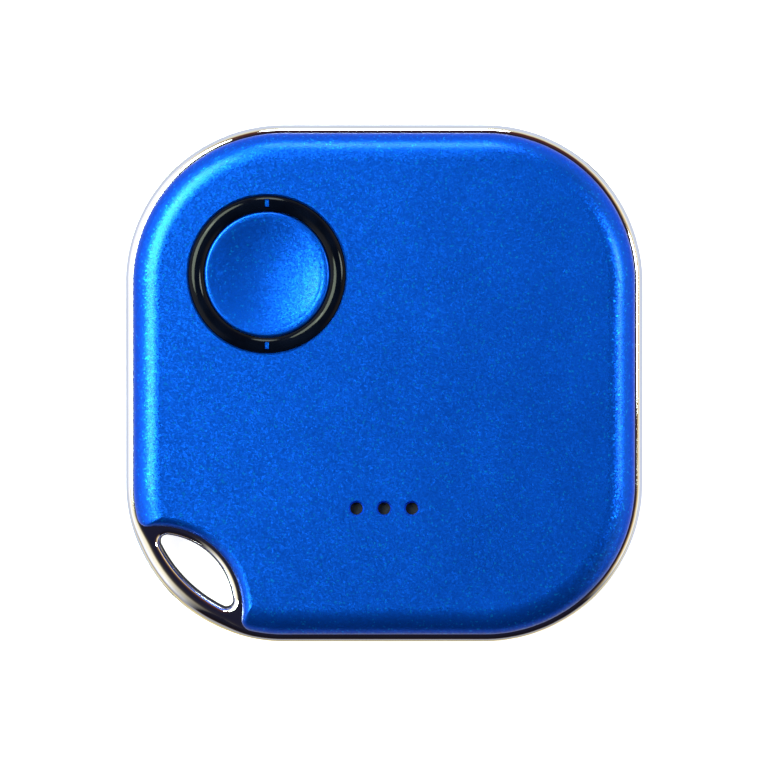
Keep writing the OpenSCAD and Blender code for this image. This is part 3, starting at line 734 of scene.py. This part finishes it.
def finish_for(slot):
    """The slot's material, made with all the others the first time that one is asked for."""
    names = bpy.context.scene.get("tag_materials")
    if names is None:
        names = {key: material.name for key, material in make_finishes().items()}
        bpy.context.scene["tag_materials"] = names
    return bpy.data.materials[names[slot]]


# ---- the covers ----


def cover_rings(floor_z, inner_d, rim_z, face_z, lip):
    """A cover's rings, from the inner side of its face over its skirt or lip to its outer face."""
    s = sizes()
    plan = Plan(STAND, s.cut_corner_r)
    down = 1 if face_z > rim_z else -1
    skirt_d, end_z = lip
    inner, skirt, bevel = inner_d - STAND, skirt_d - STAND, RIM_R * RIM_BEVEL
    rings = [level(plan.inset(side), height) for side, height in (
        (inner, floor_z), (inner, end_z), (skirt, end_z), (skirt, rim_z),
        (RIM_R, rim_z), (bevel, rim_z + down * bevel), (0.0, rim_z + down * RIM_R),
    )]
    target = plan.inset(s.edge_w, s.cut_edge_r)
    drop = plan.blended(s.edge_r, s.cut_edge_r)
    base = [p for p, _, _ in plan.columns]
    for share, rise in quarter_turn(EDGE_STEPS):
        rings.append([
            Vector((*p.lerp(q, share), face_z - down * d * rise))
            for p, q, d in zip(base, target, drop)
        ])
    return rings


class TAG_OT_front_cover(bpy.types.Operator):
    """Front cover: a hollow painted shell with its skirt, bosses, button bore and sound holes"""

    bl_idname = "tag.front_cover"
    bl_label = "Front cover"

    def execute(self, context):
        s = sizes()
        roof = FACE - s.face_wall
        piece = tube("front_shell", cover_rings(
            roof, s.skirt_in, BEZEL[1].z, FACE, (s.skirt_out, FRONT[0].z)
        ), inner=COVER_INNER_RINGS)
        paint_outside(piece)
        top, bottom = roof + BOSS_ROOT, BOARD[1].z
        hole_end = roof - SCREW_HOLE_END
        for at in spots("board_screws", SCREWS_APART):
            boss = turning("boss", [
                (0, top), (s.boss_r, top), (s.boss_r, bottom + FOOT_CHAMFER),
                (s.boss_r - FOOT_CHAMFER, bottom), (SCREW_HOLE_R, bottom), (SCREW_HOLE_R, hole_end),
                (0, hole_end),
            ], at, ROUND_SMALL, inner=math.inf)
            combine(piece, boss, "UNION")
        bore = s.ring_in + s.ring_w + s.bore_gap
        combine(piece, bore_tool("bore", bore, s.bore_chamfer, roof - BORE_PAST, BUTTON, ROUND_FINE))
        for i in range(s.hole_count):
            at = Vector(((i - (s.hole_count - 1) / 2) * s.hole_pitch, SOUND_Y))
            combine(piece, bore_tool(
                "sound_hole", s.hole_d / 2, s.hole_chamfer, roof - CUT_PAST, at, ROUND_SMALL
            ))
        settle(piece, "front", "cover_paint", "front_cover")
        return {"FINISHED"}


class TAG_OT_back_cover(bpy.types.Operator):
    """Back cover: a shallow painted shell with the lip that carries the seal, and its pry notch"""

    bl_idname = "tag.back_cover"
    bl_label = "Back cover"

    def execute(self, context):
        s = sizes()
        rim = BEZEL[0].z
        piece = tube("back_shell", cover_rings(
            BACK[0].z + s.face_wall, s.lip_in, rim, BACK[0].z, (s.lip_out, BACK[1].z)
        ), inner=COVER_INNER_RINGS)
        paint_outside(piece)
        start = BEZEL[0].y - CUT_PAST
        depth = STAND + NOTCH_IN
        end = BEZEL[0].y + depth
        side = BEZEL[0].y + depth - NOTCH_CORNER
        narrow = NOTCH_HALF - NOTCH_CORNER
        corners = (
            (-NOTCH_HALF, start), (NOTCH_HALF, start), (NOTCH_HALF, side),
            (narrow, end), (-narrow, end), (-NOTCH_HALF, side),
        )
        outline = [Vector(corner) for corner in corners]
        combine(piece, tube("pry_notch", [
            level(outline, rim - NOTCH_RISE), level(outline, rim + NOTCH_PAST),
        ]))
        settle(piece, "back", "cover_paint", "back_cover")
        return {"FINISHED"}


class TAG_OT_bezel(bpy.types.Operator):
    """Chrome bezel: a rounded square frame with the key eye through its corner"""

    bl_idname = "tag.bezel"
    bl_label = "Bezel"

    def execute(self, context):
        s = sizes()
        low, high = BEZEL[0].z, BEZEL[1].z
        plan = Plan(s.bezel_wall, BEZEL_CORNER)
        inner = [p for p, _, _ in plan.columns]
        edge = [self.edge_radius(plan, p) for p in inner]

        def swept(share, height, rise=0.0):
            """The outer side moved in by a share of its edge radius, at a height and a rise from it."""
            rounded = plan.outer(edge, share)
            return [Vector((p.x, p.y, height + r * rise)) for p, r in zip(rounded, edge)]

        rings = [level(inner, low), swept(BEZEL_FLAT, low)]
        rings += [swept(share, low, rise) for share, rise in quarter_turn(EDGE_STEPS, backwards=True)]
        rings += [swept(share, high, -rise) for share, rise in quarter_turn(EDGE_STEPS)]
        rings += [swept(BEZEL_FLAT, high), level(inner, high), level(inner, low)]
        piece = tube("chrome_bezel", rings, capped=False)
        combine(piece, self.eye_tool(low, high))
        settle(piece, "front", "bezel_chrome", "bezel_frame")
        return {"FINISHED"}

    def edge_radius(self, plan, point):
        """The outer edge's radius: larger on the bar beyond the eye, and eased into the sides."""
        local = turned(*(point - plan.centre), -DIAGONAL)
        angle = abs(math.degrees(math.atan2(local.y, local.x)))
        share = eased(min(1.0, max(0.0, (BAR_ENDS - angle) / BAR_EASE)))
        return STAND + (sizes().eye_bar_edge - STAND) * share

    def eye_tool(self, low, high):
        """A cutter in the shape of the key eye that leaves a rounded lip above and below."""
        s = sizes()
        plan = Plan(s.bezel_wall, BEZEL_CORNER)
        bar = s.corner_r - s.eye_bar
        tip = s.eye_tip_r
        lip = s.eye_lip_r
        upper, lower, beta, delta = crossing(plan.centre, plan.span, bar - tip, s.eye_r - tip)
        opposite = DIAGONAL + math.pi
        columns = (
            arc(plan.centre, bar, DIAGONAL - beta, DIAGONAL + beta, "bar", EYE_STEP)
            + arc(upper, tip, DIAGONAL + beta, opposite - delta, "tip", EYE_TIP_STEP)
            + arc(plan.eye, s.eye_r, opposite - delta, opposite + delta, "side", EYE_STEP)
            + arc(lower, tip, opposite + delta, DIAGONAL + 2 * math.pi - beta, "tip", EYE_TIP_STEP)
        )

        def ring(out, height):
            return [Vector((*(p + n * out), height)) for p, n, _ in columns]

        rings = [ring(lip + EYE_PAST, low - EYE_PAST)]
        for share, rise in quarter_turn(LIP_STEPS, backwards=True):
            rings.append(ring(lip * share, low + lip * rise))
        for share, rise in quarter_turn(LIP_STEPS):
            rings.append(ring(lip * share, high - lip * rise))
        rings.append(ring(lip + EYE_PAST, high + EYE_PAST))
        return tube("eye_tool", rings)


# ---- the button and its ring ----


class TAG_OT_button(bpy.types.Operator):
    """Button: a dished painted cap on a hidden flange, with its two posts through the ring"""

    bl_idname = "tag.button"
    bl_label = "Button"

    def execute(self, context):
        s = sizes()
        low, top = CAP[0].z, FACE - s.slide_gap
        flange = RING[0].z - s.slide_gap
        flange_low = flange - FLANGE_T
        flange_r = (CAP[1].x - CAP[0].x) / 2
        hollow = s.cap_r - CAP_WALL
        roof = top - s.dish_depth - CAP_ROOF
        profile = [
            (0, low), (STEM_R - FOOT_CHAMFER, low), (STEM_R, low + FOOT_CHAMFER), (STEM_R, roof),
            (hollow, roof), (hollow, flange_low), (flange_r, flange_low), (flange_r, flange),
            (s.cap_r, flange),
        ]
        profile += rounding(s.cap_r, s.cap_rim_r, top, s.cap_rim_r, RIM_STEPS) + self.dish(top)
        piece = turning("button_dished", profile, BUTTON, ROUND)
        for side in (-1, 1):
            middle = Vector((BUTTON.x, BUTTON.y + side * (s.ring_in + s.ring_w / 2)))
            combine(piece, self.post(middle, flange - POST_ROOT), "UNION")
        settle(piece, "button", "cover_paint", "button_cap")
        return {"FINISHED"}

    def dish(self, top):
        """The profile from the button's rim down its dish to the middle."""
        s = sizes()
        reach = s.cap_r - s.cap_rim
        ball = ball_radius(reach, s.dish_depth)
        start = reach - DISH_BLEND

        def height(radius):
            return top - s.dish_depth + ball - math.sqrt(ball * ball - radius * radius)

        profile = []
        for i in range(1, BLEND_STEPS):
            share = i / BLEND_STEPS
            radius = reach + DISH_BLEND * DISH_LEAD - (1 + DISH_LEAD) * DISH_BLEND * share
            profile.append((radius, top + (height(start) - top) * eased(share)))
        for i in range(DISH_STEPS + 1):
            radius = start * (1 - i / DISH_STEPS)
            profile.append((radius, height(radius)))
        return profile

    def post(self, middle, low):
        """A small post with rounded corners that narrows at its end."""
        s = sizes()
        x_reach, y_reach = s.post_w / 2 - POST_CORNER, s.post_l / 2 - POST_CORNER
        corners = []
        for x_side, y_side, start in ((1, -1, -90), (1, 1, 0), (-1, 1, 90), (-1, -1, 180)):
            for step in (0, 30, 60, 90):
                angle = math.radians(start + step)
                corners.append(Vector((
                    middle.x + x_side * x_reach + POST_CORNER * math.cos(angle),
                    middle.y + y_side * y_reach + POST_CORNER * math.sin(angle),
                )))
        tip = [middle + (p - middle) * POST_TIP for p in corners]
        top = CAP[1].z
        return tube("post", [level(corners, low), level(corners, top - POST_TAPER), level(tip, top)])


class TAG_OT_light_ring(bpy.types.Operator):
    """Light ring: a smoked guide with a crowned top, notched for the button's posts"""

    bl_idname = "tag.light_ring"
    bl_label = "Light ring"

    def execute(self, context):
        s = sizes()
        r_in, r_out = s.ring_in, s.ring_in + s.ring_w
        crest, base = RING[1].z, RING[0].z
        flange = (RING[1].x - RING[0].x) / 2
        roof = FACE - s.face_wall
        half = s.ring_w / 2
        ball = ball_radius(half, s.ring_crown)
        profile = [
            (r_in, base), (flange - RING_CHAMFER, base), (flange, base + RING_CHAMFER),
            (flange, roof), (r_out, roof),
        ]
        for i in range(CROWN_STEPS + 1):
            x = half * math.cos(math.pi * i / CROWN_STEPS)
            profile.append((r_in + half + x, crest - ball + math.sqrt(ball * ball - x * x)))
        profile.append((r_in, base))
        piece = turning("smoked_light_ring", profile, BUTTON, ROUND_FINE)
        w, l = s.post_w / 2 + s.slide_gap, s.post_l / 2 + s.slide_gap
        for side in (-1, 1):
            x, y = BUTTON.x, BUTTON.y + side * (r_in + half)
            corners = ((x - w, y - l), (x + w, y - l), (x + w, y + l), (x - w, y + l))
            outline = [Vector(corner) for corner in corners]
            combine(piece, tube("post_slot", [
                level(outline, base - CUT_PAST), level(outline, crest + CUT_PAST),
            ]))
        settle(piece, "front", "smoked_ring", "light_ring")
        return {"FINISHED"}


# ---- the coin cell ----


class TAG_OT_cell(bpy.types.Operator):
    """Coin cell: a drawn can with soft edges, crimped over its stepped cap"""

    bl_idname = "tag.cell"
    bl_label = "Coin cell"

    def execute(self, context):
        s = sizes()
        sheet = s.can_t
        reach = (CAN[1].x - CAN[0].x) / 2
        wall = reach - sheet
        low, high = CAN[0].z, CAN[1].z
        can = [(0, low)] + rounding(reach, s.can_r, low, -s.can_r, CELL_STEPS, backwards=True)
        can += rounding(reach, s.crimp_w, high, sheet, CELL_STEPS) + [
            (reach - s.crimp_w - CRIMP_IN, high - CRIMP_DROP), (wall, high - CRIMP_FOOT),
            (wall, low + sheet + CAN_INSIDE), (wall - CAN_INSIDE, low + sheet), (0, low + sheet),
        ]
        settle(turning("cell_shell_can", can, CELL, ROUND), "cell", "cell_steel", "cell_can")
        reach = (CELL_CAP[1].x - CELL_CAP[0].x) / 2
        wall = reach - sheet
        low, high = CELL_CAP[0].z, CELL_CAP[1].z
        cap = [(0, high)] + rounding(reach, s.cell_cap_r, high, s.cell_cap_r, CELL_STEPS, backwards=True)
        cap += [(reach, low), (wall, low), (wall, high - sheet), (0, high - sheet)]
        settle(turning("cell_shell_cap", cap, CELL, ROUND), "cell", "cell_steel", "cell_cap")
        return {"FINISHED"}


# ---- the parts that keep their CAD shape ----


class TAG_OT_inner_parts(bpy.types.Operator):
    """Inner parts: gives every part that keeps its own shape its finish"""

    bl_idname = "tag.inner_parts"
    bl_label = "Inner parts"

    def execute(self, context):
        for part in frame["record"]["subparts"]:
            node = frame["nodes"][part["node"]]
            node.data.materials.clear()
            node.data.materials.append(finish_for(part["material_slot"]))
        return {"FINISHED"}


# ---- the stage ----


class TAG_OT_stage(bpy.types.Operator):
    """Stage: a pale floor, soft studio light from the left, and the camera above"""

    bl_idname = "tag.stage"
    bl_label = "Stage"

    def execute(self, context):
        self.floor()
        self.surroundings(context)
        self.lights(context)
        self.camera(context)
        context.scene.view_settings.view_transform = "Standard"
        return {"FINISHED"}

    def floor(self):
        bpy.ops.object.select_all(action="DESELECT")
        bpy.ops.mesh.primitive_circle_add(
            vertices=128, radius=FLOOR_R, fill_type="NGON", location=(0, 0, -FLOOR_GAP)
        )
        piece = bpy.context.object
        piece.name = piece.data.name = "floor"
        bpy.ops.object.transform_apply()
        m = Finish("pale_floor", (0.92, 0.92, 0.92), roughness=0.9)
        m.vary_roughness(size=0.05, low=0.85, high=0.95)
        glow = m.node("Emission", {"Color": (1, 1, 1, 1), "Strength": FLOOR_GLOW})
        pale = m.node("AddShader", {0: m.shader.outputs[0], 1: glow.outputs[0]})
        # Glossy rays see a painted reflection of the floor in place of its real shading
        mirrored = m.node("Emission", {"Color": self.painted_floor_reflection(m), "Strength": 1.0})
        path = m.node("LightPath").outputs["Is Glossy Ray"]
        final = m.node("MixShader", {0: path, 1: pale.outputs[0], 2: mirrored.outputs[0]})
        m.tree.links.new(final.outputs[0], m.tree.nodes["Material Output"].inputs["Surface"])
        piece.data.materials.append(m.material)

    def painted_floor_reflection(self, m):
        """Painted reflection of the floor, shown only to polished parts: cool grey, warm close in front,
        and darkened by a painted shadow under the tag.
        """
        split = m.node("SeparateXYZ", {0: m.place})
        x, y = split.outputs["X"], split.outputs["Y"]
        share = m.node("MapRange", {"Value": y, "From Min": -0.030, "From Max": -0.010})
        tone = m.ramp(share.outputs["Result"], [
            (0.0, (0.40, 0.40, 0.42)), (0.30, (0.42, 0.38, 0.30)), (0.46, (0.85, 0.68, 0.30)),
            (0.62, (0.85, 0.78, 0.55)), (0.8, (0.66, 0.71, 0.84)),
        ])
        # Painted shadow: the reflected floor is darkened where it lies under the tag
        reach = m.math("MAXIMUM", m.math("ABSOLUTE", x), m.math("ABSOLUTE", y))
        unshaded_floor = m.node("MapRange", {
            "Value": reach, "From Min": 0.0165, "From Max": 0.0180, "To Min": 0.06, "To Max": 1.0,
        })
        return m.vector_math("SCALE", {0: tone, "Scale": unshaded_floor.outputs["Result"]})

    def surroundings(self, context):
        """A studio by direction alone: bright left, low light behind, dark overhead and in front."""
        world = bpy.data.worlds.new("studio")
        context.scene.world = world
        world.use_nodes = True
        w = Nodes(world.node_tree)
        split = w.node("SeparateXYZ", {0: w.node("TexCoord").outputs["Generated"]})
        x, y, z = split.outputs
        up = w.math("MAXIMUM", z, 0.0)
        # Light by height above the horizon, for each of the four sides
        left = w.ramp(up, [
            (0.0, (0.80, 0.82, 0.98)), (0.25, (1.15, 1.18, 1.2)), (0.80, (1.1, 1.0, 0.72)),
            (0.93, (0.10, 0.08, 0.05)), (1.0, OVERHEAD),
        ])
        right = w.ramp(up, [
            (0.0, (0.60, 0.68, 0.80)), (0.3, (1.1, 1.05, 0.92)), (0.62, (0.78, 0.56, 0.24)),
            (0.80, (0.06, 0.03, 0.03)), (1.0, OVERHEAD),
        ])
        back = w.ramp(up, [
            (0.0, (0.66, 0.72, 0.84)), (0.40, (0.86, 0.80, 0.52)), (0.62, (0.14, 0.04, 0.02)),
            (1.0, OVERHEAD),
        ])
        near = w.ramp(up, [(0.0, (0.05, 0.03, 0.03)), (0.3, (0.008, 0.006, 0.008)), (1.0, OVERHEAD)])

        def side(source):
            """0 on the source's negative side and 1 on its positive side."""
            share = w.math("MULTIPLY_ADD", source, SIDE_SHARPNESS, 0.5)
            return w.ramp(share, [(0.0, 0.0), (1.0, 1.0)])

        across = w.math("SUBTRACT", w.math("ABSOLUTE", x), w.math("ABSOLUTE", y))
        across = w.math("SUBTRACT", across, w.math("MULTIPLY", x, SIDE_SKEW))
        studio = w.mix(side(across), w.mix(side(y), near, back), w.mix(side(x), left, right))
        shown = w.node("LightPath").outputs["Is Camera Ray"]
        final = w.mix(shown, studio, (1.0, 1.0, 1.0, 1.0))
        w.tree.links.new(final, w.tree.nodes["Background"].inputs["Color"])

    def lights(self, context):
        for name, place, size, power, tint in LIGHTS:
            data = bpy.data.lights.new(name, "AREA")
            data.shape = "DISK"
            data.size = size
            data.energy = power
            data.color = tint
            light = bpy.data.objects.new(name, data)
            light.location = place
            light.visible_camera = False
            to_origin = Vector((0, 0, 0)) - Vector(place)
            light.rotation_euler = to_origin.to_track_quat("-Z", "Y").to_euler()
            context.scene.collection.objects.link(light)

    def camera(self, context):
        data = bpy.data.cameras.new("camera")
        data.sensor_width = 36
        data.lens = CAMERA_LENS
        data.clip_start = 0.01
        data.clip_end = 10
        camera = bpy.data.objects.new("camera", data)
        lean = Vector((0.0, CAMERA_LEAN, 1.0)).normalized()
        camera.location = Vector(CAMERA_AIM) + CAMERA_AWAY * lean
        camera.rotation_euler = (-math.atan(CAMERA_LEAN), 0, 0)
        context.scene.collection.objects.link(camera)
        context.scene.camera = camera


# ---- the add-on ----

PIECES = (
    TAG_OT_inner_parts, TAG_OT_back_cover, TAG_OT_bezel, TAG_OT_front_cover, TAG_OT_button,
    TAG_OT_light_ring, TAG_OT_cell, TAG_OT_stage,
)


class TAG_PT_panel(bpy.types.Panel):
    """The tag's pieces, sizes and finishes"""

    bl_idname = "TAG_PT_panel"
    bl_label = "Key Tag"
    bl_space_type = "VIEW_3D"
    bl_region_type = "UI"
    bl_category = "Key Tag"

    def draw(self, context):
        column = self.layout.column(align=True)
        for piece in PIECES:
            column.operator(piece.bl_idname)
        for group in (sizes(), finishes()):
            column.separator()
            for name in group.__annotations__:
                column.prop(group, name)


CLASSES = (TagSizes, TagFinishes, *PIECES, TAG_PT_panel)


def register():
    for cls in CLASSES:
        bpy.utils.register_class(cls)
    bpy.types.Scene.tag_sizes = PointerProperty(type=TagSizes)
    bpy.types.Scene.tag_finishes = PointerProperty(type=TagFinishes)


def unregister():
    del bpy.types.Scene.tag_finishes
    del bpy.types.Scene.tag_sizes
    for cls in reversed(CLASSES):
        bpy.utils.unregister_class(cls)


def main():
    register()
    for piece in PIECES:
        group, name = piece.bl_idname.split(".")
        getattr(getattr(bpy.ops, group), name)()


if __name__ == "__main__":
    main()
